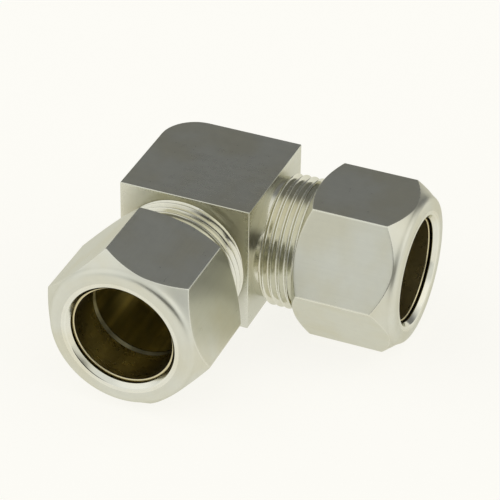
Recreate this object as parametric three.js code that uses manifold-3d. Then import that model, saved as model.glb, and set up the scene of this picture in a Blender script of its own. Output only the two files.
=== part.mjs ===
// Compression fitting: 90 degree equal elbow for two 18 mm tubes, nickel-plated brass.
//
// Five separate pieces: the elbow body with two threaded spigots, and on each spigot a
// hexagon cap nut with an olive (compression ring) held between nut and spigot.
//
// Frame: millimetres, +Z up. The origin is the middle of the block's flat underside, straight
// below the point where the two bore axes cross. One spigot runs along +X (right), the other
// along -Y (front). Both threads are right-handed. Lengths along a spigot are measured from
// the crossing of the bore axes. Spigots, nuts and olives are modelled about +Z, which then
// becomes the outward axis, while their +X side is turned to face up.
import * as THREE from 'three';
import { mergeVertices } from 'three/addons/utils/BufferGeometryUtils.js';
import Module from 'manifold-3d';

// ---------------------------------------------------------------- shared dimensions
const TUBE_BORE_R = 9.05;       // tube socket and olive, for an 18 mm tube

// Thread, M24 x 1.5
const PITCH = 1.5;
const FLANK = Math.tan(Math.PI / 6);   // axial run per radial rise of a flank
const EXT_THREAD = { crestR: 11.95, rootR: 11.05, crestWidth: 0.14 };
const INT_ROOT_R = 12.2;
const INT_CREST_R = 11.3;
const FLANK_GAP = 0.15;         // axial play between the flanks, each side
const NUT_THREAD_PHASE = -14.0; // height of the ridge's middle at the nut's own +X side

// Facets
const ROUND_SEGMENTS = 40;
const THREAD_SEGMENTS = 20;     // a divisor of ROUND_SEGMENTS, so that facets line up

// Allowances outside the finished surfaces
const OVERRUN = 0.5;            // cutters and envelopes, past the face they cross
const BLANK_EXTRA = 1;          // hexagon bar and thread rods, past where they are trimmed

// ---------------------------------------------------------------- spigot placement
// A frame whose +Z is `outward` and whose +X is up.
function outwardFrame(outward) {
  const z = new THREE.Vector3(...outward);
  const x = new THREE.Vector3(0, 0, 1);
  const y = new THREE.Vector3().crossVectors(z, x);
  return new THREE.Matrix4().makeBasis(x, y, z);
}

// nutAt: where the nut's origin lies, so how far it is screwed on
// nutTurn: turn of the nut's flats about the outward axis
// threadFrom: where the thread starts, after any plain neck
const SPIGOTS = [
  {
    side: 'front',
    frame: outwardFrame([0, -1, 0]),
    nutAt: 35.6,
    nutTurn: THREE.MathUtils.degToRad(-15.3),
    threadFrom: 12.3,
  },
  {
    side: 'right',
    frame: outwardFrame([1, 0, 0]),
    nutAt: 35.85,
    nutTurn: THREE.MathUtils.degToRad(1.5),
    threadFrom: 13.55,
  },
];

// ---------------------------------------------------------------- solids
const wasm = await Module();
wasm.setup();

// Six times the signed volume enclosed by a triangle mesh.
function signedVolume(position, triangles) {
  const corner = (i) => new THREE.Vector3().fromArray(position, 3 * triangles[i]);
  let volume = 0;
  for (let i = 0; i < triangles.length; i += 3) {
    volume += corner(i).dot(corner(i + 1).cross(corner(i + 2)));
  }
  return volume;
}

// A closed three.js geometry as a solid: shared vertices merged, collapsed triangles dropped,
// faces turned outward.
function solid(geometry) {
  geometry.deleteAttribute('normal');
  geometry.deleteAttribute('uv');
  const merged = mergeVertices(geometry, 1e-4);
  const position = merged.getAttribute('position').array;
  const index = merged.getIndex().array;
  const triangles = [];
  for (let i = 0; i < index.length; i += 3) {
    const [a, b, c] = [index[i], index[i + 1], index[i + 2]];
    if (a !== b && b !== c && c !== a) triangles.push(a, b, c);
  }
  if (signedVolume(position, triangles) < 0) {
    for (let i = 0; i < triangles.length; i += 3) {
      [triangles[i + 1], triangles[i + 2]] = [triangles[i + 2], triangles[i + 1]];
    }
  }
  return new wasm.Manifold(new wasm.Mesh({
    numProp: 3,
    vertProperties: new Float32Array(position),
    triVerts: new Uint32Array(triangles),
  }));
}

// A solid back as a three.js geometry.
function geometryOf(manifold) {
  const mesh = manifold.getMesh();
  const geometry = new THREE.BufferGeometry();
  const position = new Float32Array(mesh.vertProperties);
  geometry.setAttribute('position', new THREE.BufferAttribute(position, 3));
  geometry.setIndex(new THREE.BufferAttribute(new Uint32Array(mesh.triVerts), 1));
  geometry.computeVertexNormals();
  return geometry;
}

// A profile of [radius, height] points revolved about +Z.
function revolve(profile, segments = ROUND_SEGMENTS) {
  const points = profile.map(([radius, z]) => new THREE.Vector2(radius, z));
  const geometry = new THREE.LatheGeometry(points, segments);
  geometry.rotateX(Math.PI / 2);
  return solid(geometry);
}

// A threaded rod about +Z that covers `from` to `to`. The ridge's middle passes the +X side at
// height `phase` and climbs one pitch per turn towards +Y. Its ends are pointed and are
// always cut off afterwards.
function threadedRod({ crestR, rootR, crestWidth, phase, from, to }) {
  const perTurn = THREAD_SEGMENTS;
  const half = crestWidth / 2;
  const run = (crestR - rootR) * FLANK;
  // [radius, height]: lower and upper crest edge, then the root up to the next ridge
  const profile = [
    [crestR, -half], [crestR, half], [rootR, half + run], [rootR, PITCH - half - run],
  ];
  const start = phase - (Math.ceil((phase - from) / PITCH) + 1) * PITCH;
  const steps = perTurn * (Math.ceil((to - start) / PITCH) + 1);

  const vertices = [];
  for (let i = 0; i <= steps; i++) {
    const angle = (2 * Math.PI * i) / perTurn;
    const climb = start + (PITCH * i) / perTurn;
    for (const [radius, z] of profile) {
      vertices.push(radius * Math.cos(angle), radius * Math.sin(angle), climb + z);
    }
  }

  const index = [];
  const row = (i) => i * profile.length;
  const quad = (a, b, c, d) => index.push(a, b, c, a, c, d);
  for (let i = 0; i < steps; i++) {
    const here = row(i);
    const next = row(i + 1);
    for (let k = 0; k < 3; k++) quad(here + k, next + k, next + k + 1, here + k + 1);
    // The lower flank of the ridge one turn on
    if (i + 1 + perTurn <= steps) {
      quad(here + 3, next + 3, row(i + 1 + perTurn), row(i + perTurn));
    }
  }

  // The lower rim runs once round on the first profile point, then back along the step there.
  const lowTip = vertices.length / 3;
  vertices.push(0, 0, start - PITCH);
  const lowRim = [];
  for (let i = 0; i <= perTurn; i++) lowRim.push(row(i));
  lowRim.push(row(0) + 3, row(0) + 2, row(0) + 1);
  lowRim.forEach((v, i) => index.push(lowTip, lowRim[(i + 1) % lowRim.length], v));

  // The upper rim runs once round on the last profile point, then back along the step there.
  const highTip = vertices.length / 3;
  vertices.push(0, 0, start + (PITCH * steps) / perTurn + 2 * PITCH);
  const highRim = [];
  for (let i = steps - perTurn; i <= steps; i++) highRim.push(row(i) + 3);
  highRim.push(row(steps) + 2, row(steps) + 1, row(steps));
  highRim.forEach((v, i) => index.push(highTip, v, highRim[(i + 1) % highRim.length]));

  const geometry = new THREE.BufferGeometry();
  geometry.setAttribute('position', new THREE.BufferAttribute(new Float32Array(vertices), 3));
  geometry.setIndex(index);
  return solid(geometry);
}

// ---------------------------------------------------------------- elbow body
const BLOCK_SIDE = 24.5;        // square block at the corner of the elbow
const BLOCK_ROUND = 6.6;        // radius of its upright edge at -X, +Y
const BLOCK_BEVEL = 0.25;       // bevel round its top and bottom

const SPIGOT_ROOT = 11;         // inner end of each spigot, buried in the block
const SPIGOT_MOUTH = 30.45;     // outer end of each spigot
const NECK_R = 10.95;           // radius of the neck, and of the thread's start
const MOUTH_R = 11;             // outer radius of the mouth's face
const THREAD_CLEAR_R = 12.4;    // envelope between the end chamfers, clear of the crests
const START_CHAMFER = 1.2;      // length of the envelope's chamfer at the neck
const MOUTH_CHAMFER = 1.35;     // and at the mouth

const TUBE_STOP = 17.0;         // shoulder the tube's end meets
const WATERWAY_R = 7.75;        // bore inward of the tube stop
const DRILL_DEPTH = 3.0;        // full bore carries on this far past the crossing
const DRILL_TIP = 7.6;          // end of the drill point past the crossing
const MOUTH_SEAT = 1.0;         // 45 degree seat for the olive

function blockSolid() {
  const half = BLOCK_SIDE / 2;
  const edge = half - BLOCK_BEVEL;       // the extrusion's bevel adds its size all round
  const round = BLOCK_ROUND - BLOCK_BEVEL;
  const outline = new THREE.Shape();
  outline.moveTo(edge, -edge);
  outline.lineTo(edge, edge);
  outline.lineTo(-edge + round, edge);
  outline.absarc(-edge + round, edge - round, round, Math.PI / 2, Math.PI, false);
  outline.lineTo(-edge, -edge);
  outline.closePath();
  const block = new THREE.ExtrudeGeometry(outline, {
    depth: BLOCK_SIDE - 2 * BLOCK_BEVEL,
    bevelEnabled: true,
    bevelThickness: BLOCK_BEVEL,
    bevelSize: BLOCK_BEVEL,
    bevelSegments: 1,
    curveSegments: 12,
  });
  block.translate(0, 0, -edge);
  return solid(block);
}

function spigotSolid({ frame, nutAt, nutTurn, threadFrom }) {
  const rod = threadedRod({
    ...EXT_THREAD,
    phase: NUT_THREAD_PHASE + nutAt - (PITCH * nutTurn) / (2 * Math.PI), // in mesh with the nut
    from: SPIGOT_ROOT - BLANK_EXTRA,
    to: SPIGOT_MOUTH + BLANK_EXTRA,
  });
  const envelope = revolve([
    [0, SPIGOT_ROOT],
    [NECK_R, SPIGOT_ROOT],
    [NECK_R, threadFrom],
    [THREAD_CLEAR_R, threadFrom + START_CHAMFER],
    [THREAD_CLEAR_R, SPIGOT_MOUTH - MOUTH_CHAMFER],
    [MOUTH_R, SPIGOT_MOUTH],
    [0, SPIGOT_MOUTH],
  ], THREAD_SEGMENTS);
  return rod.intersect(envelope).transform(frame.elements);
}

function boreSolid({ frame }) {
  return revolve([
    [0, -DRILL_TIP],
    [WATERWAY_R, -DRILL_DEPTH],
    [WATERWAY_R, TUBE_STOP],
    [TUBE_BORE_R, TUBE_STOP],
    [TUBE_BORE_R, SPIGOT_MOUTH - MOUTH_SEAT],
    [TUBE_BORE_R + MOUTH_SEAT + OVERRUN, SPIGOT_MOUTH + OVERRUN],
    [0, SPIGOT_MOUTH + OVERRUN],
  ]).transform(frame.elements);
}

function elbowSolid() {
  let elbow = blockSolid();
  for (const spigot of SPIGOTS) elbow = elbow.add(spigotSolid(spigot));
  for (const spigot of SPIGOTS) elbow = elbow.subtract(boreSolid(spigot));
  return elbow;
}

// ---------------------------------------------------------------- cap nut
// Heights are measured from the outer end of the six long edges, positive outward.
const NUT_AF = 27.0;            // across flats
const NUT_CORNER_R = NUT_AF / Math.sqrt(3);
const NUT_EDGE = 13.54;         // length of the long edges
const NUT_BACK = 1.65;          // rear face behind the edges
const NUT_REAR = -NUT_EDGE - NUT_BACK;
const NUT_BACK_R = 13.45;       // rear face radius, inside the rear chamfer
const NUT_NOSE = 3.75;          // outer face ahead of the edges
const NUT_NOSE_SLOPE = 1.25;    // chamfer behind the nose, axial run per radial fall
// Rounded rim of the nose: [radius, height]
const NUT_RIM = [[13.5, 2.58], [13.38, 3.05], [13.1, 3.42], [12.65, 3.65], [12.1, NUT_NOSE]];

const NUT_BORE_R = 9.5;         // tube entry
const NUT_LIP_R = 10.45;        // outer radius of the entry chamfer
const NUT_LIP_DEPTH = 0.75;     // and its depth
const LIP_OVERRUN = 0.4;        // radial overrun of the entry chamfer's cutter
const NUT_SHOULDER = 2.85;      // narrow, outer end of the 45 degree cone over the olive
const RELIEF_FROM = -3.7;       // thread relief inside the nut
const RELIEF_TO = -2.3;
const RELIEF_R = 12.4;
const NUT_MOUTH_R = INT_ROOT_R + 0.2;  // 45 degree chamfer at the rear face
const CORE_R = INT_CREST_R - 0.4;      // inside the tap, which makes the thread's surface

const TAP_CLEAR_R = 12.8;       // tap's trimming cylinder, clear of its crests
const TAP_END = RELIEF_FROM + 0.4;     // the trimmed tap ends within the relief
const TAP_ROD_END = -3;

function nutBlank() {
  const hexagon = new THREE.Shape();
  for (let i = 0; i < 6; i++) {
    const angle = Math.PI / 6 + (Math.PI / 3) * i;    // puts a flat on the +X side
    const command = i ? 'lineTo' : 'moveTo';
    hexagon[command](NUT_CORNER_R * Math.cos(angle), NUT_CORNER_R * Math.sin(angle));
  }
  hexagon.closePath();
  const bar = new THREE.ExtrudeGeometry(hexagon, {
    depth: NUT_NOSE - NUT_REAR + 2 * BLANK_EXTRA,
    bevelEnabled: false,
  });
  bar.translate(0, 0, NUT_REAR - BLANK_EXTRA);

  const outerR = NUT_CORNER_R + OVERRUN;
  const backSlope = NUT_BACK / (NUT_CORNER_R - NUT_BACK_R);
  const envelope = revolve([
    [0, NUT_REAR],
    [NUT_BACK_R, NUT_REAR],
    [outerR, NUT_REAR + backSlope * (outerR - NUT_BACK_R)],
    [outerR, -OVERRUN * NUT_NOSE_SLOPE],
    ...NUT_RIM,
    [0, NUT_NOSE],
  ]);
  return solid(bar).intersect(envelope);
}

// The nut's inside, apart from the thread's grooves.
function nutHole() {
  const lipSlope = NUT_LIP_DEPTH / (NUT_LIP_R - NUT_BORE_R);
  const top = NUT_NOSE + LIP_OVERRUN * lipSlope;
  return revolve([
    [0, NUT_REAR - OVERRUN],
    [NUT_MOUTH_R + OVERRUN, NUT_REAR - OVERRUN],
    [CORE_R, NUT_REAR + NUT_MOUTH_R - CORE_R],
    [CORE_R, RELIEF_FROM - (RELIEF_R - CORE_R)],
    [RELIEF_R, RELIEF_FROM],
    [RELIEF_R, RELIEF_TO],
    [INT_CREST_R, NUT_SHOULDER - (INT_CREST_R - NUT_BORE_R)],
    [NUT_BORE_R, NUT_SHOULDER],
    [NUT_BORE_R, NUT_NOSE - NUT_LIP_DEPTH],
    [NUT_LIP_R + LIP_OVERRUN, top],
    [0, top],
  ]);
}

// A threaded rod a little fatter than the spigot's, which cuts the nut's thread.
function nutTap() {
  const { crestR, crestWidth } = EXT_THREAD;
  const rod = threadedRod({
    crestR: INT_ROOT_R,
    rootR: INT_CREST_R,
    crestWidth: crestWidth + 2 * (FLANK_GAP - (INT_ROOT_R - crestR) * FLANK),
    phase: NUT_THREAD_PHASE,
    from: NUT_REAR - BLANK_EXTRA,
    to: TAP_ROD_END,
  });
  const zone = revolve([
    [0, NUT_REAR - OVERRUN],
    [TAP_CLEAR_R, NUT_REAR - OVERRUN],
    [TAP_CLEAR_R, TAP_END],
    [0, TAP_END],
  ], THREAD_SEGMENTS);
  return rod.intersect(zone);
}

function nutSolid() {
  return nutBlank().subtract(nutHole().add(nutTap()));
}

// ---------------------------------------------------------------- olive
// Heights are measured from its inner end.
const OLIVE_LENGTH = 7.6;
const OLIVE_END_R = 9.55;
const OLIVE_R = 10.75;
const OLIVE_TAPER = 2.2;        // length of the taper at each end
const OLIVE_BEHIND_NUT = 5.25;  // its inner end, inward of the nut's origin

function oliveSolid() {
  return revolve([
    [TUBE_BORE_R, 0],
    [OLIVE_END_R, 0],
    [OLIVE_R, OLIVE_TAPER],
    [OLIVE_R, OLIVE_LENGTH - OLIVE_TAPER],
    [OLIVE_END_R, OLIVE_LENGTH],
    [TUBE_BORE_R, OLIVE_LENGTH],
    [TUBE_BORE_R, 0],
  ]);
}

// ---------------------------------------------------------------- materials
function metal({ color, roughness }) {
  return new THREE.MeshStandardMaterial({ color, roughness, metalness: 1.0, flatShading: true });
}
const nickel = () => metal({ color: 0xb9b7ad, roughness: 0.34 });
const brass = () => metal({ color: 0xc2a865, roughness: 0.38 });

// ---------------------------------------------------------------- assembly
function named(name, geometry, material) {
  const mesh = new THREE.Mesh(geometry, material);
  mesh.name = name;
  return mesh;
}

const fitting = new THREE.Group();
const aboutCrossing = new THREE.Group();      // its origin is where the bore axes cross
aboutCrossing.position.z = BLOCK_SIDE / 2;
aboutCrossing.add(named('elbow_body', geometryOf(elbowSolid()), nickel()));
fitting.add(aboutCrossing);

const nutGeometry = geometryOf(nutSolid());
const oliveGeometry = geometryOf(oliveSolid());
for (const { side, frame, nutAt, nutTurn } of SPIGOTS) {
  const spigotAxis = new THREE.Group();
  spigotAxis.setRotationFromMatrix(frame);
  const nut = named(`nut_${side}`, nutGeometry, nickel());
  nut.position.z = nutAt;
  nut.rotation.z = nutTurn;
  const olive = named(`olive_${side}`, oliveGeometry, brass());
  olive.position.z = nutAt - OLIVE_BEHIND_NUT;
  spigotAxis.add(nut, olive);
  aboutCrossing.add(spigotAxis);
}

export default fitting;
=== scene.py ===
"""Looks of the compression fitting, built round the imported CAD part.

Every visible piece is made again here as a fine mesh on the CAD's own dimensions: fillets on
the hexagons, full helical threads, rounded rims. Lengths in this file are millimetres until a
mesh is made. Along a spigot, lengths are measured from the point where the bore axes cross.
"""

import math

import bmesh
import bpy
import numpy as np
from mathutils import Matrix, Vector


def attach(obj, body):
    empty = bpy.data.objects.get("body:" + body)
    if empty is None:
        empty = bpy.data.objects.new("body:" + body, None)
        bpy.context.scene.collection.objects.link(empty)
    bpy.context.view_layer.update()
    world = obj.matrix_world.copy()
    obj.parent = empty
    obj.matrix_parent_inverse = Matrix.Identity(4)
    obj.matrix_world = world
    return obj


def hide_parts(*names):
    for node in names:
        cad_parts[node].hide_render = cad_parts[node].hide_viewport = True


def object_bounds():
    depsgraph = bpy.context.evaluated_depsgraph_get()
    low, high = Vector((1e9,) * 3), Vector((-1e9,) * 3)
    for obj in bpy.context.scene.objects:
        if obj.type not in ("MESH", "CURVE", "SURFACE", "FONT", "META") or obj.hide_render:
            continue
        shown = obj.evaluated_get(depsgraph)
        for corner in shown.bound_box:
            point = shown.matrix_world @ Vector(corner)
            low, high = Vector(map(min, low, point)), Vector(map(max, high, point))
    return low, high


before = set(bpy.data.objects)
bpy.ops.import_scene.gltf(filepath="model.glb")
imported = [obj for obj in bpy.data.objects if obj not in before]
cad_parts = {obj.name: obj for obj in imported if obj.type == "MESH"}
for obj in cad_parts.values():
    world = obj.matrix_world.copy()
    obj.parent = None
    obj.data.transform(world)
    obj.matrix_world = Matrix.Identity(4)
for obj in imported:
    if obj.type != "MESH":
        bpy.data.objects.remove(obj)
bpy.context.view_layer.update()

MM = 0.001
CENTRE_Z = 12.25                       # crossing of the bore axes above the block's underside

# ------------------------------------------------------------------ dimensions (mm)
BLOCK_SIDE, BLOCK_ROUND, BLOCK_EDGE = 24.5, 6.6, 0.17
MOUTH, NECK_R = 30.45, 10.95
SOCKET_R, TUBE_STOP, WATERWAY_R = 9.05, 17.0, 7.75
DRILL_DEPTH, DRILL_TIP, MOUTH_SEAT = 3.0, 7.6, 1.0
PITCH = 1.5
TAN30 = math.tan(math.pi / 6)
EXT_CREST, EXT_ROOT, EXT_CREST_W = 11.95, 11.05, 0.14
INT_ROOT, INT_CREST, FLANK_GAP = 12.2, 11.3, 0.15
NUT_A = 13.5                           # half across flats
NUT_C = NUT_A / math.cos(math.pi / 6)  # half across corners
NUT_EDGE, NUT_NOSE, NUT_BACK = 13.54, 3.75, 1.65
NUT_BORE, NUT_LIP_R, NUT_LIP_DEPTH, NUT_SHOULDER = 9.5, 10.45, 0.75, 2.85
RELIEF_R, RELIEF_0, RELIEF_1 = 12.4, -3.7, -2.3
OLIVE_L, OLIVE_BORE, OLIVE_END, OLIVE_R, OLIVE_TAPER = 7.6, 9.05, 9.55, 10.75, 2.2
PHASE = -14.0                          # height of a nut's thread ridge at its own +X side
FRONT = dict(outward=(0, -1, 0), side=(0, 0, 1), at=35.6, turn=math.radians(-15.3), thread_from=12.3)
RIGHT = dict(outward=(1, 0, 0), side=(0, 0, 1), at=35.85, turn=math.radians(1.5), thread_from=13.55)
OLIVE_BEHIND = 5.25


def frame_of(spec):
    """Rotation that takes +Z to the spigot's outward axis and +X to its side."""
    z, x = Vector(spec["outward"]), Vector(spec["side"])
    y = z.cross(x)
    return Matrix(((x.x, y.x, z.x), (x.y, y.y, z.y), (x.z, y.z, z.z))).to_4x4()


# ------------------------------------------------------------------ mesh building
class Shell:
    """Collects structured grids of points (mm), welds them and makes one mesh object."""

    def __init__(self):
        self.points, self.faces, self.mats, self.count = [], [], [], 0

    def grid(self, p, mat, close=True):
        """p is rows x columns x 3. mat is one index, or one per row of faces."""
        rows, cols, _ = p.shape
        ids = self.count + np.arange(rows * cols).reshape(rows, cols)
        self.points.append(p.reshape(-1, 3))
        self.count += rows * cols
        if close:
            a, b = ids[:-1], ids[1:]
            quads = np.stack([a, np.roll(a, -1, 1), np.roll(b, -1, 1), b], -1)
        else:
            quads = np.stack([ids[:-1, :-1], ids[:-1, 1:], ids[1:, 1:], ids[1:, :-1]], -1)
        self.faces += quads.reshape(-1, 4).tolist()
        per = np.broadcast_to(np.asarray(mat).reshape(-1, 1), quads.shape[:2])
        self.mats += per.reshape(-1).tolist()

    def fan(self, ring, centre, mat):
        """Closes a ring (columns x 3) to a centre point."""
        n = len(ring)
        base = self.count
        self.points += [ring, np.asarray([centre], float)]
        self.count += n + 1
        for j in range(n):
            self.faces.append([base + j, base + (j + 1) % n, base + n])
            self.mats.append(mat)

    def mesh(self, name, weld=0.0015):
        v = np.concatenate(self.points)
        me = bpy.data.meshes.new(name)
        me.from_pydata(v.tolist(), [], self.faces)
        me.polygons.foreach_set("material_index", self.mats)
        bm = bmesh.new()
        bm.from_mesh(me)
        bmesh.ops.remove_doubles(bm, verts=bm.verts, dist=weld)
        bmesh.ops.dissolve_degenerate(bm, dist=weld * 0.5, edges=bm.edges)
        loose = [q for q in bm.verts if not q.link_faces]
        if loose:
            bmesh.ops.delete(bm, geom=loose, context="VERTS")
        bmesh.ops.recalc_face_normals(bm, faces=bm.faces)
        if bm.calc_volume(signed=True) < 0:
            bmesh.ops.reverse_faces(bm, faces=bm.faces)
        bmesh.ops.scale(bm, vec=(MM, MM, MM), verts=bm.verts)
        bm.to_mesh(me)
        bm.free()
        return me


def ring(r, z, theta):
    """Points of a profile (arrays r, z) at every angle: rows x columns x 3."""
    r, z = np.broadcast_arrays(np.asarray(r, float), np.asarray(z, float))
    if r.ndim == 1:
        r, z = r[:, None], z[:, None]
    r, z = np.broadcast_to(r, (r.shape[0], len(theta))), np.broadcast_to(z, (z.shape[0], len(theta)))
    return np.stack([r * np.cos(theta), r * np.sin(theta), z], -1)


def rounded(points, radii, steps=3):
    """A polyline (r, z) with its inner vertices rounded by the given radii."""
    pts = [np.asarray(p, float) for p in points]
    out = [pts[0]]
    for i in range(1, len(pts) - 1):
        rad = radii[i - 1] if np.ndim(radii) else radii
        if rad <= 0:
            out.append(pts[i])
            continue
        a, b, c = pts[i - 1], pts[i], pts[i + 1]
        u, w = (a - b) / np.linalg.norm(a - b), (c - b) / np.linalg.norm(c - b)
        half = math.acos(max(-1.0, min(1.0, float(u @ w)))) / 2
        t = rad / math.tan(half)
        t = min(t, 0.45 * np.linalg.norm(a - b), 0.45 * np.linalg.norm(c - b))
        p0, p2 = b + u * t, b + w * t
        for s in np.linspace(0, 1, steps + 1):
            out.append((1 - s) ** 2 * p0 + 2 * s * (1 - s) * b + s * s * p2)
    out.append(pts[-1])
    return np.array(out)


def thread_profile(crest, root, half):
    """One pitch of a thread ridge: offsets from the ridge's middle and radii, lightly rounded."""
    run = (crest - root) * TAN30
    knots = [(0.0, crest), (half * 0.85, crest - 0.006), (half + 0.03, crest - 0.055),
             (half + 0.13, crest - 0.13 / TAN30 * 1.0), (half + 0.5 * run, (crest + root) / 2),
             (half + run - 0.09, root + 0.09 / TAN30 + 0.004), (half + run - 0.02, root + 0.055),
             (half + run + 0.05, root + 0.012)]
    mid = PITCH / 2
    right = [(x, r) for x, r in knots if x < mid - 0.03] + [(mid, root)]
    left = [(PITCH - x, r) for x, r in reversed(right[1:-1])]
    q = np.array(right + left)
    return q[:, 0], q[:, 1]


def helix(theta, phase, z0, z1, profile, limit, combine):
    """A helical thread between two rings: an aligned, sheared grid that ends exactly on z0 and z1."""
    off, rad = profile
    m = len(off)
    th = np.append(theta, theta[0] + 2 * math.pi)
    first = math.floor((z0 - PITCH - phase) / PITCH) - 1
    last = math.ceil((z1 - phase) / PITCH) + 1
    turns = np.arange(first, last + 1)
    z = (phase + turns[:, None] * PITCH + off[None, :]).reshape(-1)
    r = np.broadcast_to(rad, (len(turns), m)).reshape(-1)
    zz = z[:, None] + PITCH * th[None, :] / (2 * math.pi)
    keep = (zz.max(1) > z0 - 1e-9) & (zz.min(1) < z1 + 1e-9)
    i0, i1 = np.where(keep)[0][[0, -1]]
    i0, i1 = max(0, i0 - 1), min(len(z) - 1, i1 + 1)
    zz = np.clip(zz[i0:i1 + 1], z0, z1)
    rr = combine(np.broadcast_to(r[i0:i1 + 1, None], zz.shape), limit(zz))
    p = np.stack([rr * np.cos(th), rr * np.sin(th), zz], -1)
    return p


def finish_mesh(me, materials, smooth_angle=38.0):
    """Materials, smooth shading with real creases kept sharp, and the edge attribute wear, for edge wear and a
    painted highlight on convex edges.
    """
    index = np.empty(len(me.polygons), dtype=np.int32)
    me.polygons.foreach_get("material_index", index)
    me.materials.clear()
    for m in materials:
        me.materials.append(m)
    me.polygons.foreach_set("material_index", index)
    n_v, n_e, n_l, n_f = len(me.vertices), len(me.edges), len(me.loops), len(me.polygons)
    co = np.empty(n_v * 3)
    me.vertices.foreach_get("co", co)
    co = co.reshape(-1, 3) / MM
    ev = np.empty(n_e * 2, dtype=np.int64)
    me.edges.foreach_get("vertices", ev)
    ev = ev.reshape(-1, 2)
    le = np.empty(n_l, dtype=np.int64)
    me.loops.foreach_get("edge_index", le)
    tot = np.empty(n_f, dtype=np.int64)
    me.polygons.foreach_get("loop_total", tot)
    fn = np.empty(n_f * 3)
    me.polygons.foreach_get("normal", fn)
    fn = fn.reshape(-1, 3)
    fc = np.empty(n_f * 3)
    me.polygons.foreach_get("center", fc)
    fc = fc.reshape(-1, 3) / MM
    fa = np.empty(n_f)
    me.polygons.foreach_get("area", fa)
    fa = fa / MM ** 2
    lf = np.repeat(np.arange(n_f), tot)
    order = np.argsort(le, kind="stable")
    les, lfs = le[order], lf[order]
    pair = np.where(les[:-1] == les[1:])[0]
    e, fa0, fa1 = les[pair], lfs[pair], lfs[pair + 1]
    cosang = np.clip((fn[fa0] * fn[fa1]).sum(1), -1, 1)
    ang = np.arccos(cosang)
    side = (fc[fa1] - fc[fa0])
    convex = np.where((side * fn[fa0]).sum(1) < 0, 1.0, -1.0)
    length = np.linalg.norm(co[ev[e, 0]] - co[ev[e, 1]], axis=1)
    # mean curvature (1/mm) gathered at the vertices: bent edge length over the area near it
    bend = convex * ang * length
    acc, area = np.zeros(n_v), np.full(n_v, 1e-9)
    for k in (0, 1):
        np.add.at(acc, ev[e, k], bend)
    lv = np.empty(n_l, dtype=np.int64)
    me.loops.foreach_get("vertex_index", lv)
    np.add.at(area, lv, np.repeat(np.minimum(fa / tot, 0.25), tot))
    curve = acc / area / 2
    # convex edges: used for edge wear and for a painted edge highlight
    wear = np.clip(curve / 4.0, 0, 1)
    att = me.attributes.new("wear", "FLOAT", "POINT")
    att.data.foreach_set("value", wear.astype(np.float32))
    hollow = np.clip(-curve / 4.0, 0, 1)
    att = me.attributes.new("hollow", "FLOAT", "POINT")
    att.data.foreach_set("value", hollow.astype(np.float32))
    me.shade_smooth()
    me.set_sharp_from_angle(angle=math.radians(smooth_angle))
    me.update()
    return me


def place(name, me, matrix, body, node, weighted=True):
    o = bpy.data.objects.new(name, me)
    bpy.context.scene.collection.objects.link(o)
    o.matrix_world = matrix
    if weighted:
        w = o.modifiers.new("normals", "WEIGHTED_NORMAL")
        w.keep_sharp = True
        w.weight = 60
    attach(o, body)
    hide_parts(node)
    return o


# ------------------------------------------------------------------ shader graph helper
class Graph:
    def __init__(self, tree):
        self.t = tree
        self.t.nodes.clear()

    def node(self, kind, props=None, **inputs):
        n = self.t.nodes.new(kind)
        for k, v in (props or {}).items():
            setattr(n, k, v)
        for k, v in inputs.items():
            self.put(n.inputs[k.replace("_", " ")], v)
        return n

    def put(self, socket, v):
        if isinstance(v, bpy.types.NodeSocket):
            self.t.links.new(v, socket)
        elif isinstance(v, bpy.types.Node):
            self.t.links.new(v.outputs[0], socket)
        else:
            if socket.type == "RGBA" and len(v) == 3:
                v = (*v, 1.0)
            socket.default_value = v

    def m(self, op, a, b=None, c=None, clamp=False):
        n = self.t.nodes.new("ShaderNodeMath")
        n.operation, n.use_clamp = op, clamp
        for i, v in enumerate((a, b, c)):
            if v is not None:
                self.put(n.inputs[i], v)
        return n.outputs[0]

    def v(self, op, a, b=None, scale=None):
        n = self.t.nodes.new("ShaderNodeVectorMath")
        n.operation = op
        self.put(n.inputs[0], a)
        if b is not None:
            self.put(n.inputs[1], b)
        if scale is not None:
            self.put(n.inputs["Scale"], scale)
        return n.outputs["Value"] if op in ("DOT_PRODUCT", "LENGTH", "DISTANCE") else n.outputs["Vector"]

    def xyz(self, a):
        n = self.t.nodes.new("ShaderNodeSeparateXYZ")
        self.put(n.inputs[0], a)
        return n.outputs[0], n.outputs[1], n.outputs[2]

    def vec(self, x, y, z):
        n = self.t.nodes.new("ShaderNodeCombineXYZ")
        for i, q in enumerate((x, y, z)):
            self.put(n.inputs[i], q)
        return n.outputs[0]

    def ramp(self, x, lo, hi, out0=0.0, out1=1.0, smooth=True):
        n = self.t.nodes.new("ShaderNodeMapRange")
        n.interpolation_type = "SMOOTHSTEP" if smooth else "LINEAR"
        for i, q in enumerate((x, lo, hi, out0, out1)):
            self.put(n.inputs[i], q)
        return n.outputs[0]

    def mix(self, f, a, b, kind="MIX"):
        n = self.t.nodes.new("ShaderNodeMix")
        n.data_type, n.blend_type = "RGBA", kind
        self.put(n.inputs[0], f)
        self.put(n.inputs[6], a)
        self.put(n.inputs[7], b)
        return n.outputs[2]

    def noise(self, vec, scale, detail=3.0, rough=0.55, w=None, distort=0.0):
        n = self.t.nodes.new("ShaderNodeTexNoise")
        n.noise_dimensions = "4D" if w is not None else "3D"
        self.put(n.inputs["Vector"], vec)
        if w is not None:
            self.put(n.inputs["W"], w)
        n.inputs["Scale"].default_value = scale
        n.inputs["Detail"].default_value = detail
        n.inputs["Roughness"].default_value = rough
        n.inputs["Distortion"].default_value = distort
        return n.outputs[0]


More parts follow.
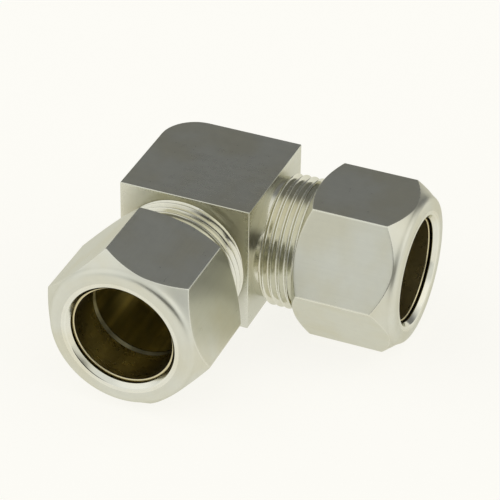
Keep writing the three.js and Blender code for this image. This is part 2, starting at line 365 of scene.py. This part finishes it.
def metal(name, axis="Z", kind="flat", base=(0.66, 0.645, 0.575), rough=0.30, depth=None, shine=0.30):
    """A plated or bare turned-brass surface. kind: flat, turned, thread, bore.

    Coordinates are the piece's own, in millimetres; rings and lines follow the machining axis.
    """
    mat = bpy.data.materials.new(name)
    mat.use_nodes = True
    g = Graph(mat.node_tree)
    out = g.node("ShaderNodeOutputMaterial")
    bsdf = g.node("ShaderNodeBsdfPrincipled")
    g.t.links.new(bsdf.outputs[0], out.inputs[0])

    tc = g.node("ShaderNodeTexCoord")
    p = g.v("SCALE", tc.outputs["Object"], scale=1000.0)
    x, y, z = g.xyz(p)
    if axis == "X":
        u, w, t, ax = y, z, x, (1.0, 0.0, 0.0)
    elif axis == "Y":
        u, w, t, ax = x, z, y, (0.0, 1.0, 0.0)
    else:
        u, w, t, ax = x, y, z, (0.0, 0.0, 1.0)
    rho = g.m("SQRT", g.m("ADD", g.m("MULTIPLY", u, u), g.m("MULTIPLY", w, w)))
    seed = g.node("ShaderNodeObjectInfo").outputs["Random"]
    seed = g.m("MULTIPLY", seed, 37.0)
    wear = g.node("ShaderNodeAttribute", {"attribute_name": "wear"}).outputs["Fac"]
    hollow = g.node("ShaderNodeAttribute", {"attribute_name": "hollow"}).outputs["Fac"]

    cloud = g.noise(p, 0.11, 3.0, 0.5, w=seed)            # broad tone, about 9 mm
    mottle = g.noise(p, 0.75, 4.0, 0.6, w=seed)           # satin mottling, about 1.3 mm
    grain = g.noise(p, 5.0, 2.0, 0.6, w=seed)             # fine grain
    # machining marks
    ring_vec = g.vec(rho, g.m("MULTIPLY", t, 1.0), 0.0)
    rings_c = g.noise(ring_vec, 1.6, 3.0, 0.65, w=seed)
    rings_f = g.noise(ring_vec, 6.0, 2.0, 0.6, w=seed)
    if kind == "flat":
        along = {"Z": (1.0, 1.0, 0.035), "block": (0.05, 0.30, 1.0)}[axis]
        drawn = g.noise(g.v("MULTIPLY", p, along), 2.6, 4.0, 0.65, w=seed)
        height = g.m("ADD", g.m("MULTIPLY", drawn, 0.40), g.m("MULTIPLY", mottle, 0.9))
        height = g.m("ADD", height, g.m("MULTIPLY", grain, 0.03))
        bump, lines = (0.0010 if axis == "block" else 0.0016), drawn
        aniso = 0.0
    elif kind == "thread":
        chatter = g.noise(g.v("MULTIPLY", p, (1.0, 1.0, 1.0)), 1.3, 3.0, 0.6, w=seed)
        height = g.m("ADD", g.m("MULTIPLY", rings_f, 0.3), g.m("MULTIPLY", chatter, 1.3))
        bump, lines = 0.0045, chatter
        aniso = 0.35
    else:
        height = g.m("ADD", g.m("MULTIPLY", rings_c, 1.0), g.m("MULTIPLY", rings_f, 0.28))
        height = g.m("ADD", height, g.m("MULTIPLY", mottle, 0.5))
        bump, lines = 0.0022, rings_c
        aniso = 0.35 if kind == "turned" else 0.45
    bn = g.node("ShaderNodeBump", Strength=1.0, Distance=bump * MM * 1.0, Height=height)

    # colour: plating, a little warmer and duller in broad clouds and in hollows, brighter on convex edges (edge wear
    # with a painted highlight)
    warm = tuple(b * f for b, f in zip(base, (0.93, 0.885, 0.76)))
    col = g.mix(g.ramp(cloud, 0.38, 0.68, 0.0, 0.55), base, warm)
    shade = g.m("ADD", g.m("MULTIPLY", g.m("SUBTRACT", mottle, 0.5), 0.10),
                g.m("MULTIPLY", g.m("SUBTRACT", lines, 0.5), 0.10))
    shade = g.m("ADD", 1.0, shade)
    col = g.v("SCALE", col, scale=shade)
    dull = tuple(b * f for b, f in zip(base, (0.52, 0.47, 0.33)))
    col = g.mix(g.m("MULTIPLY", hollow, 0.08 if kind == "thread" else 0.30), col, dull)
    # painted highlight on convex edges, together with edge wear; shine sets its strength
    bright = tuple(min(0.93, b * 1.22 + 0.05) for b in base)
    col = g.mix(g.m("MULTIPLY", wear, shine), col, bright)
    if kind in ("bore", "thread") and depth:
        a, b, dark = depth
        # painted shade: the bore gets darker the deeper it goes, down to the factor dark
        inward = g.ramp(g.m("ABSOLUTE", t), a, b, dark, 1.0)
        streak = g.noise(g.v("NORMALIZE", g.vec(u, w, 0.0)), 2.3, 2.0, 0.5, w=seed)
        streak = g.ramp(streak, 0.42, 0.62, 0.75, 1.35)
        # painted shade: the mouth seat is scaled down to 0.07 to 0.34 of its colour, darker towards one side
        around = g.v("DOT_PRODUCT", g.v("NORMALIZE", g.vec(u, w, 0.0)), (0.85, -0.53, 0.0))
        seat_shade_by_side = g.ramp(around, -0.45, 0.75, 0.34, 0.07)      # painted shade on the mouth seat, darkest towards one side
        seat_painted_shade = g.ramp(g.m("ABSOLUTE", t), MOUTH - MOUTH_SEAT - 0.35, MOUTH - MOUTH_SEAT + 0.05, 1.0, seat_shade_by_side)
        col = g.v("SCALE", col, scale=g.m("MULTIPLY", g.m("MULTIPLY", inward, seat_painted_shade), streak))
    g.put(bsdf.inputs["Base Color"], col)
    g.put(bsdf.inputs["Specular Tint"], (0.80, 0.80, 0.74, 1.0))
    g.put(bsdf.inputs["Metallic"], 1.0)
    r = g.m("ADD", rough, g.m("MULTIPLY", g.m("SUBTRACT", mottle, 0.5), 0.10))
    r = g.m("ADD", r, g.m("MULTIPLY", g.m("SUBTRACT", lines, 0.5), 0.08))
    r = g.m("ADD", r, g.m("MULTIPLY", hollow, 0.12))
    r = g.m("SUBTRACT", r, g.m("MULTIPLY", wear, 0.06), clamp=True)
    g.put(bsdf.inputs["Roughness"], r)
    if aniso:
        tangent = g.v("CROSS_PRODUCT", ax, p)
        tw = g.node("ShaderNodeVectorTransform",
                    {"vector_type": "VECTOR", "convert_from": "OBJECT", "convert_to": "WORLD"}, Vector=tangent)
        g.put(bsdf.inputs["Anisotropic"], aniso)
        g.put(bsdf.inputs["Tangent"], g.v("NORMALIZE", tw.outputs[0]))
    g.t.links.new(bn.outputs[0], bsdf.inputs["Normal"])
    return mat


NICKEL = (0.66, 0.662, 0.583)
# BRIGHT: a lighter copy of the nickel, painted light that brightens the spigot threads and the polished nut lip
BRIGHT = (0.75, 0.748, 0.665)
INSIDE = (0.61, 0.56, 0.335)
BRASS = (0.60, 0.54, 0.345)
mat_flat = metal("nickel_flats", "Z", "flat", NICKEL, 0.30, shine=0.45)
mat_turned = metal("nickel_turned", "Z", "turned", NICKEL, 0.33)
mat_lip = metal("nut_lip", "Z", "turned", BRIGHT, 0.13)
mat_nut_bore = metal("nut_bore", "Z", "bore", INSIDE, 0.30)
mat_nut_thread = metal("nut_thread", "Z", "thread", INSIDE, 0.34)
mat_block = metal("nickel_block", "block", "flat", NICKEL, 0.31, shine=0.06)
mat_thread_x = metal("nickel_thread_x", "X", "thread", BRIGHT, 0.15)
mat_thread_y = metal("nickel_thread_y", "Y", "thread", BRIGHT, 0.15)
mat_bore_x = metal("bore_x", "X", "bore", INSIDE, 0.30, depth=(12.0, 28.0, 0.85))
mat_bore_y = metal("bore_y", "Y", "bore", INSIDE, 0.30, depth=(12.0, 28.0, 0.85))
mat_brass = metal("plain_brass", "Z", "bore", BRASS, 0.28)

# ------------------------------------------------------------------ cap nut
FLAT, TURNED, BORE, THREAD, LIP = 0, 1, 2, 3, 4


def hex_columns(rho=0.38, step=2.7):
    """Angles and radii of a hexagon with rounded corners, flats facing angle 0."""
    c = (NUT_A - rho) / math.cos(math.pi / 6)
    beta = np.radians(np.linspace(-30, 30, 8))
    fillet = np.degrees(np.arctan2(rho * np.sin(beta), c + rho * np.cos(beta)))
    edge = fillet[-1]
    rest = [edge + 0.35, edge + 1.0]
    n = int(math.ceil((30 - rest[-1]) / step))
    flat = list(np.linspace(rest[-1], 60 - rest[-1], 2 * n + 1))
    psi = list(fillet) + [rest[0]] + flat + [60 - rest[0]]
    psi = np.radians(np.array(psi))
    theta, radius = [], []
    for k in range(6):
        for q in psi:
            local = q if q <= math.radians(30) else q - math.radians(60)
            if abs(local) <= math.radians(edge) + 1e-9:
                r = c * math.cos(local) + math.sqrt(max(0.0, rho ** 2 - (c * math.sin(local)) ** 2))
            else:
                r = NUT_A / math.cos(math.pi / 6 - abs(local))
            theta.append(math.pi / 6 + k * math.pi / 3 + q)
            radius.append(r)
    return np.array(theta), np.array(radius)


def smooth_polyline(points, rounds=3):
    """Chaikin corner cutting, ends kept."""
    p = np.asarray(points, float)
    for _ in range(rounds):
        a, b = p[:-1], p[1:]
        mid = np.stack([0.75 * a + 0.25 * b, 0.25 * a + 0.75 * b], 1).reshape(-1, 2)
        p = np.concatenate([p[:1], mid, p[-1:]])
    return p


def nut_mesh(name):
    theta, rh = hex_columns()
    rear = -NUT_EDGE - NUT_BACK
    s = Shell()

    # rear face and rear cone, as height over radius
    def z_rear(r):
        q = r - 13.45
        return rear + 0.772 * (q + np.sqrt(q * q + 0.10 ** 2)) / 2

    # nose: cone, rim and front face, as a curve by arc length
    nose = smooth_polyline([(16.4, -1.015), (15.2, 0.475), (14.2, 1.70), (13.75, 2.24), (13.48, 2.62), (13.33, 2.98),
                            (13.08, 3.32), (12.75, 3.56), (12.35, 3.69), (11.95, 3.745), (11.6, 3.75)])
    seg = np.r_[0, np.cumsum(np.linalg.norm(np.diff(nose, axis=0), axis=1))]
    r_of = lambda q: np.interp(q, seg, nose[:, 0])
    z_of = lambda q: np.interp(q, seg, nose[:, 1])
    s_at = lambda r: np.interp(-r, -nose[:, 0], seg)

    rows_r, rows_z, mats = [], [], []

    def add(r, z, mat):
        rows_r.append(np.broadcast_to(np.asarray(r, float), theta.shape))
        rows_z.append(np.broadcast_to(np.asarray(z, float), theta.shape))
        mats.append(mat)

    def bez(p0, c, p2, n, mat):
        for q in np.linspace(0, 1, n + 1)[1:]:
            add((1 - q) ** 2 * p0[0] + 2 * q * (1 - q) * c[0] + q * q * p2[0],
                (1 - q) ** 2 * p0[1] + 2 * q * (1 - q) * c[1] + q * q * p2[1], mat)

    for r in (12.46, 12.52, 12.75, 13.05, 13.22):
        add(r, z_rear(np.array(r)), TURNED)
    t = 0.10
    end = rh - t
    for u in (0.05, 0.12, 0.24, 0.42, 0.7, 1.0):
        r = 13.22 + u * (end - 13.22)
        add(r, z_rear(r), TURNED)
    zr = z_rear(rh)
    bez((end, z_rear(end)), (rh, zr), (rh, zr + t), 4, TURNED)
    s0 = s_at(rh)
    tf = 0.10
    z_front = z_of(s0) - tf
    for u in (0.03, 0.12, 0.5, 0.88, 0.97, 1.0):
        add(rh, (zr + t) + u * (z_front - zr - t), FLAT)
    bez((rh, z_front), (rh, z_of(s0)), (r_of(s0 + tf), z_of(s0 + tf)), 4, TURNED)
    s_c = s_at(13.37)
    for u in (0.1, 0.3, 0.5, 0.66, 0.78, 0.87, 0.94, 1.0):
        q = (s0 + tf) + u * (s_c - s0 - tf)
        add(r_of(q), z_of(q), TURNED)
    for q in np.linspace(s_c, seg[-1], 12)[1:]:
        add(r_of(q), z_of(q), TURNED)
    # front face, lip, bore, inner cone, relief
    inner = rounded([(11.6, NUT_NOSE), (10.9, NUT_NOSE), (NUT_LIP_R - 0.28, NUT_NOSE - 0.03), (NUT_BORE, NUT_SHOULDER + 0.02),
                     (NUT_BORE, NUT_SHOULDER - 0.05), (INT_CREST, NUT_SHOULDER - (INT_CREST - NUT_BORE)),
                     (RELIEF_R, RELIEF_1), (RELIEF_R, RELIEF_0 + 0.35)],
                    [0.4, 0.45, 0.08, 0.03, 0.1, 0.1], 5)
    for i, (r, z) in enumerate(inner[1:]):
        m = BORE if z < NUT_SHOULDER + 0.03 else LIP if r < NUT_LIP_R else TURNED
        add(r, z, m)
    R, Z = np.array(rows_r), np.array(rows_z)
    grid = np.stack([R * np.cos(theta), R * np.sin(theta), Z], -1)
    s.grid(grid, np.array(mats[1:]))

    # thread, from the relief to the entry chamfer
    a, b = rear + 0.02, RELIEF_0 + 0.35
    entry = 12.46

    def limit(z):
        chamfer = entry - (z - a) * 1.0
        relief = RELIEF_R - np.maximum(0, (RELIEF_0 - z)) * 1.0
        return np.maximum(chamfer, relief)

    half = EXT_CREST_W / 2 + (FLANK_GAP - (INT_ROOT - EXT_CREST) * TAN30)
    prof = thread_profile(INT_ROOT, INT_CREST, max(half, 0.02))
    p = helix(theta, PHASE - PITCH * theta[0] / (2 * math.pi) * 0, a, b, prof, limit, np.maximum)
    s.grid(p, THREAD, close=False)
    s.grid(ring([entry, 12.46], [a, z_rear(np.array(12.46))], theta), TURNED)
    return s.mesh(name)


# ------------------------------------------------------------------ olive
def olive_mesh(name):
    theta = np.linspace(0, 2 * math.pi, 144, endpoint=False)
    prof = rounded([(OLIVE_BORE, OLIVE_L / 2), (OLIVE_BORE, 0), (OLIVE_END, 0), (OLIVE_R, OLIVE_TAPER),
                    (OLIVE_R, OLIVE_L - OLIVE_TAPER), (OLIVE_END, OLIVE_L), (OLIVE_BORE, OLIVE_L),
                    (OLIVE_BORE, OLIVE_L / 2)], [0.26, 0.16, 0.5, 0.5, 0.16, 0.26], 5)
    s = Shell()
    s.grid(ring(prof[:, 0], prof[:, 1], theta), 0)
    return s.mesh(name)


# ------------------------------------------------------------------ elbow body
BLOCK, THREAD_X, THREAD_Y, BORE_X, BORE_Y = 0, 1, 2, 3, 4


def block_mesh(name):
    h, e = BLOCK_SIDE / 2, BLOCK_EDGE

    def outline(inset):
        pts = []
        for cx, cy, rad, a0 in ((1, -1, 0.9 * e, -90), (1, 1, 0.9 * e, 0), (-1, 1, BLOCK_ROUND, 90), (-1, -1, 0.9 * e, 180)):
            n = 24 if rad > 2 else 4
            rr = max(rad - inset, 0.02)
            ox, oy = cx * (h - rad), cy * (h - rad)
            if rad - inset < 0.02:
                ox, oy = cx * (h - inset - 0.02), cy * (h - inset - 0.02)
            for a in np.radians(np.linspace(a0, a0 + 90, n + 1)):
                pts.append((ox + rr * math.cos(a), oy + rr * math.sin(a)))
        return np.array(pts)

    rows = []
    for k in np.linspace(0, 90, 5):
        q = math.radians(k)
        rows.append((e * (1 - math.sin(q)), -h + e * (1 - math.cos(q))))
    rows += [(i, -z) for i, z in reversed(rows)]
    grid = np.stack([np.column_stack([outline(i), np.full(len(outline(i)), z)]) for i, z in rows])
    s = Shell()
    s.grid(grid, BLOCK)
    me = s.mesh(name, weld=0.0005)
    bm = bmesh.new()
    bm.from_mesh(me)
    edges = [q for q in bm.edges if len(q.link_faces) == 1]
    bmesh.ops.edgenet_fill(bm, edges=edges)
    bmesh.ops.recalc_face_normals(bm, faces=bm.faces)
    if bm.calc_volume(signed=True) < 0:
        bmesh.ops.reverse_faces(bm, faces=bm.faces)
    bm.to_mesh(me)
    bm.free()
    return me


def spigot_mesh(name, spec, mat):
    theta = np.linspace(0, 2 * math.pi, 192, endpoint=False)
    phase = PHASE + spec["at"] - PITCH * spec["turn"] / (2 * math.pi)
    s = Shell()
    z0, z1 = spec["thread_from"], MOUTH - 0.02

    def limit(z):
        up = NECK_R + (z - z0) / 1.2 * 1.45
        down = 10.98 + (MOUTH - 0.02 - z) / 1.35 * 1.4
        return np.minimum(np.minimum(up, down), 12.4)

    prof = thread_profile(EXT_CREST, EXT_ROOT, EXT_CREST_W / 2)
    s.grid(helix(theta, phase, z0, z1, prof, limit, np.minimum), mat, close=False)
    s.grid(ring([NECK_R, NECK_R, NECK_R], [9.5, 0.5 * (9.5 + z0), z0], theta), mat)
    s.grid(ring([10.98, 10.93, 9.0], [z1, MOUTH, MOUTH], theta), mat)
    s.fan(ring([9.0], [MOUTH], theta)[0], (0, 0, MOUTH), mat)
    s.fan(ring([NECK_R], [9.5], theta)[0], (0, 0, 9.5), mat)
    return s.mesh(name)


def bore_mesh(name, mat):
    theta = np.linspace(0, 2 * math.pi, 128, endpoint=False)
    prof = rounded([(0.6, -DRILL_TIP + 0.35), (WATERWAY_R, -DRILL_DEPTH), (WATERWAY_R, TUBE_STOP), (SOCKET_R, TUBE_STOP),
                    (SOCKET_R, MOUTH - MOUTH_SEAT), (SOCKET_R + MOUTH_SEAT + 0.5, MOUTH + 0.5)], [0.4, 0.12, 0.15, 0.1], 3)
    s = Shell()
    s.grid(ring(prof[:, 0], prof[:, 1], theta), mat)
    s.fan(ring([prof[0, 0]], [prof[0, 1]], theta)[0], (0, 0, -DRILL_TIP), mat)
    s.fan(ring([prof[-1, 0]], [prof[-1, 1]], theta)[0], (0, 0, MOUTH + 0.5), mat)
    return s.mesh(name)


def elbow_mesh(name):
    def temp(me, matrix=None):
        o = bpy.data.objects.new(me.name, me)
        bpy.context.scene.collection.objects.link(o)
        if matrix is not None:
            me.transform(matrix)
        return o

    body = temp(block_mesh("block"))
    tools = [
        ("UNION", temp(spigot_mesh("spigot_x", RIGHT, THREAD_X), frame_of(RIGHT))),
        ("UNION", temp(spigot_mesh("spigot_y", FRONT, THREAD_Y), frame_of(FRONT))),
        ("DIFFERENCE", temp(bore_mesh("bore_x", BORE_X), frame_of(RIGHT))),
        ("DIFFERENCE", temp(bore_mesh("bore_y", BORE_Y), frame_of(FRONT))),
    ]
    for op, tool in tools:
        m = body.modifiers.new(op, "BOOLEAN")
        m.operation, m.object, m.solver = op, tool, "MANIFOLD"
        m.material_mode = "INDEX"
    dg = bpy.context.evaluated_depsgraph_get()
    me = bpy.data.meshes.new_from_object(body.evaluated_get(dg))
    me.name = name
    for o in [body] + [t for _, t in tools]:
        bpy.data.objects.remove(o)
    bm = bmesh.new()
    bm.from_mesh(me)
    bmesh.ops.remove_doubles(bm, verts=bm.verts, dist=2e-6)
    bmesh.ops.dissolve_degenerate(bm, dist=1e-6, edges=bm.edges)
    print("ELBOW", len(bm.verts), len(bm.faces), "open", sum(len(e.link_faces) != 2 for e in bm.edges),
          "vol", bm.calc_volume() * 1e9)
    bm.to_mesh(me)
    bm.free()
    return me


at_centre = Matrix.Translation((0, 0, CENTRE_Z * MM))
elbow = place("elbow_body_fine",
              finish_mesh(elbow_mesh("elbow_body_fine"), [mat_block, mat_thread_x, mat_thread_y, mat_bore_x, mat_bore_y]),
              at_centre, "elbow", "elbow_body")

for side, spec in (("front", FRONT), ("right", RIGHT)):
    base = at_centre @ frame_of(spec)
    nut_m = base @ Matrix.Translation((0, 0, spec["at"] * MM))
    olive_m = base @ Matrix.Translation((0, 0, (spec["at"] - OLIVE_BEHIND) * MM))
    nut_me = nut_mesh(f"nut_{side}_fine")
    nut_me.transform(Matrix.Rotation(spec["turn"], 4, "Z"))
    place(f"nut_{side}_fine", finish_mesh(nut_me, [mat_flat, mat_turned, mat_nut_bore, mat_nut_thread, mat_lip]),
          nut_m, f"{side}_nut", f"nut_{side}")
    place(f"olive_{side}_fine", finish_mesh(olive_mesh(f"olive_{side}_fine"), [mat_brass]),
          olive_m, f"{side}_olive", f"olive_{side}")

# ------------------------------------------------------------------ floor, light, camera
def towards(az, elev):
    """Direction at an azimuth (0 front, + right) and elevation, in degrees."""
    a0, e0 = math.radians(az), math.radians(elev)
    return (math.sin(a0) * math.cos(e0), -math.cos(a0) * math.cos(e0), math.sin(e0))


def surroundings(g, d):
    """A plain studio in the direction d: pale surround, overhead soft light, one soft light at each
    side, a dark card behind the object and the dark room behind the camera. Every part is broad and soft."""
    dx, dy, dz = g.xyz(d)
    az_f = g.m("ARCTAN2", dx, g.m("MULTIPLY", dy, -1.0))
    az_b = g.m("ARCTAN2", dx, dy)
    el = g.m("ARCSINE", dz)

    def rise(x, a, b):
        return g.ramp(x, math.radians(a), math.radians(b))

    def fall(x, a, b):
        return g.m("SUBTRACT", 1.0, rise(x, a, b))

    def both(*masks):
        out = masks[0]
        for q in masks[1:]:
            out = g.m("MULTIPLY", out, q)
        return out

    def lobe(az, elev, inner, outer):
        c = g.v("DOT_PRODUCT", d, towards(az, elev))
        return g.ramp(c, math.cos(math.radians(outer)), math.cos(math.radians(inner)))

    col = g.mix(lobe(-68, 40, 10, 45), (0.86, 0.87, 0.85), (1.05, 1.05, 1.03))     # left soft light
    col = g.mix(both(rise(az_f, -12, 6), fall(az_f, 46, 66), fall(el, 24, 44)), col, (0.075, 0.075, 0.068))   # room
    col = g.mix(both(rise(az_b, -64, -44), fall(az_b, 24, 48), fall(el, 58, 70)), col, (0.205, 0.208, 0.213))  # card
    col = g.mix(lobe(99, 36, 12, 30), col, (1.2, 1.2, 1.2))                        # right soft light
    col = g.mix(rise(el, 60, 80), col, (0.90, 0.90, 0.89))                         # overhead soft light
    return col


visual_lo, visual_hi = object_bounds()
floor_me = bpy.data.meshes.new("floor")
bm = bmesh.new()
bmesh.ops.create_circle(bm, cap_ends=True, segments=96, radius=2.4)
bm.to_mesh(floor_me)
bm.free()
floor = bpy.data.objects.new("floor", floor_me)
bpy.context.scene.collection.objects.link(floor)
floor.location = (0, 0, visual_lo.z - 0.00005)
mat = bpy.data.materials.new("floor")
mat.use_nodes = True
g = Graph(mat.node_tree)
out = g.node("ShaderNodeOutputMaterial")
geo = g.node("ShaderNodeNewGeometry")
board = g.node("ShaderNodeAddShader")
matt = g.node("ShaderNodeBsdfDiffuse", Color=(0.20, 0.198, 0.188), Roughness=0.4)
lit = g.node("ShaderNodeEmission", Color=(0.835, 0.825, 0.785), Strength=1.0)
g.t.links.new(matt.outputs[0], board.inputs[0])
g.t.links.new(lit.outputs[0], board.inputs[1])
clear = g.node("ShaderNodeBsdfTransparent")
mixs = g.node("ShaderNodeMixShader")
g.put(mixs.inputs[0], geo.outputs["Backfacing"])
g.t.links.new(board.outputs[0], mixs.inputs[1])
g.t.links.new(clear.outputs[0], mixs.inputs[2])
g.t.links.new(mixs.outputs[0], out.inputs[0])
floor_me.materials.append(mat)

scene = bpy.context.scene
world = bpy.data.worlds.new("studio")
scene.world = world
world.use_nodes = True
g = Graph(world.node_tree)
out = g.node("ShaderNodeOutputWorld")
tc = g.node("ShaderNodeTexCoord")
d = g.v("NORMALIZE", tc.outputs["Generated"])
path = g.node("ShaderNodeLightPath")
sky = g.mix(path.outputs["Is Camera Ray"], surroundings(g, d), (1.0, 1.0, 1.0))
bg = g.node("ShaderNodeBackground", Color=sky, Strength=1.0)
g.t.links.new(bg.outputs[0], out.inputs[0])

cam = bpy.data.cameras.new("camera")
cam_o = bpy.data.objects.new("camera", cam)
scene.collection.objects.link(cam_o)
a, e, roll = math.radians(21.81), math.radians(34.57), math.radians(-1.111)
back = Vector((math.sin(a) * math.cos(e), -math.cos(a) * math.cos(e), math.sin(e)))
right = Vector((math.cos(a), math.sin(a), 0))
up = back.cross(right)
c, s_ = math.cos(roll), math.sin(roll)
rx, ry = right * c - up * s_, right * s_ + up * c
rot = Matrix((rx, ry, back)).transposed()
where = rx * 7.2625 - ry * 8.1750 + back * 462.9966
cam_o.matrix_world = Matrix.Translation(where * MM + Vector((0, 0, CENTRE_Z * MM))) @ rot.to_4x4()
cam.sensor_width = 36.0
cam.lens = 2577.5996 / 500 * 36
cam.shift_x = (250 - 251.869) / 500
cam.shift_y = (266.140 - 250) / 500
cam.clip_start, cam.clip_end = 0.01, 20.0
scene.camera = cam_o
scene.view_settings.view_transform = "Standard"
scene.view_settings.look = "None"
